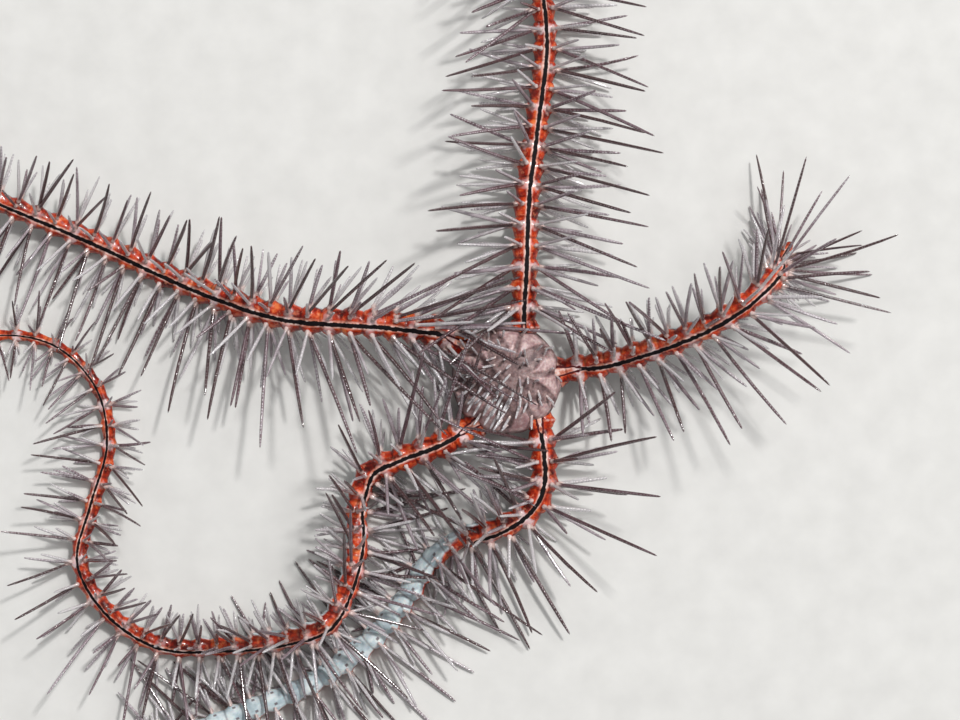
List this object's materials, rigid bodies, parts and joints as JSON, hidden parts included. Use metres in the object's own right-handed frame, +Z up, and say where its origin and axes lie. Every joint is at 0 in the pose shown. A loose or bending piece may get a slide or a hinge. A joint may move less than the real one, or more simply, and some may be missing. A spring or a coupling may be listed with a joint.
{
  "type": "brittle star model",
  "caption": "Life-size still brittle star: a small pentagonal disc with slender jointed arms covered in long thin glassy spines, lying spread on a level surface.",
  "frame": {"origin": "middle of the mouth, on the level of the surface the animal lies on", "axes": "+Z up out of the back of the disc; +Y along the straight arm at the top of the picture, +X to the right of the picture"},
  "size_m": [0.1372, 0.1524, 0.0168],
  "materials": {
    "arm_plates": "satin, wet looking",
    "disc_skin": "satin",
    "jaw_plates": "matt"
  },
  "bodies": {
    "root": {"arm_a_1": "arm_plates", "arm_a_2": "arm_plates", "arm_a_3": "arm_plates", "arm_a_4": "arm_plates", "arm_b_1": "arm_plates", "arm_b_2": "arm_plates", "arm_c_1": "arm_plates", "arm_c_2": "arm_plates", "arm_c_3": "arm_plates", "arm_c_4": "arm_plates", "arm_c_5": "arm_plates", "arm_d_1": "arm_plates", "arm_d_2": "arm_plates", "arm_d_3": "arm_plates", "arm_d_4": "arm_plates", "arm_d_5": "arm_plates", "arm_e_1": "arm_plates", "arm_e_2": "arm_plates", "arm_e_3": "arm_plates", "arm_e_4": "arm_plates", "disc": "disc_skin", "mouth": "jaw_plates"}
  },
  "joints": []
}
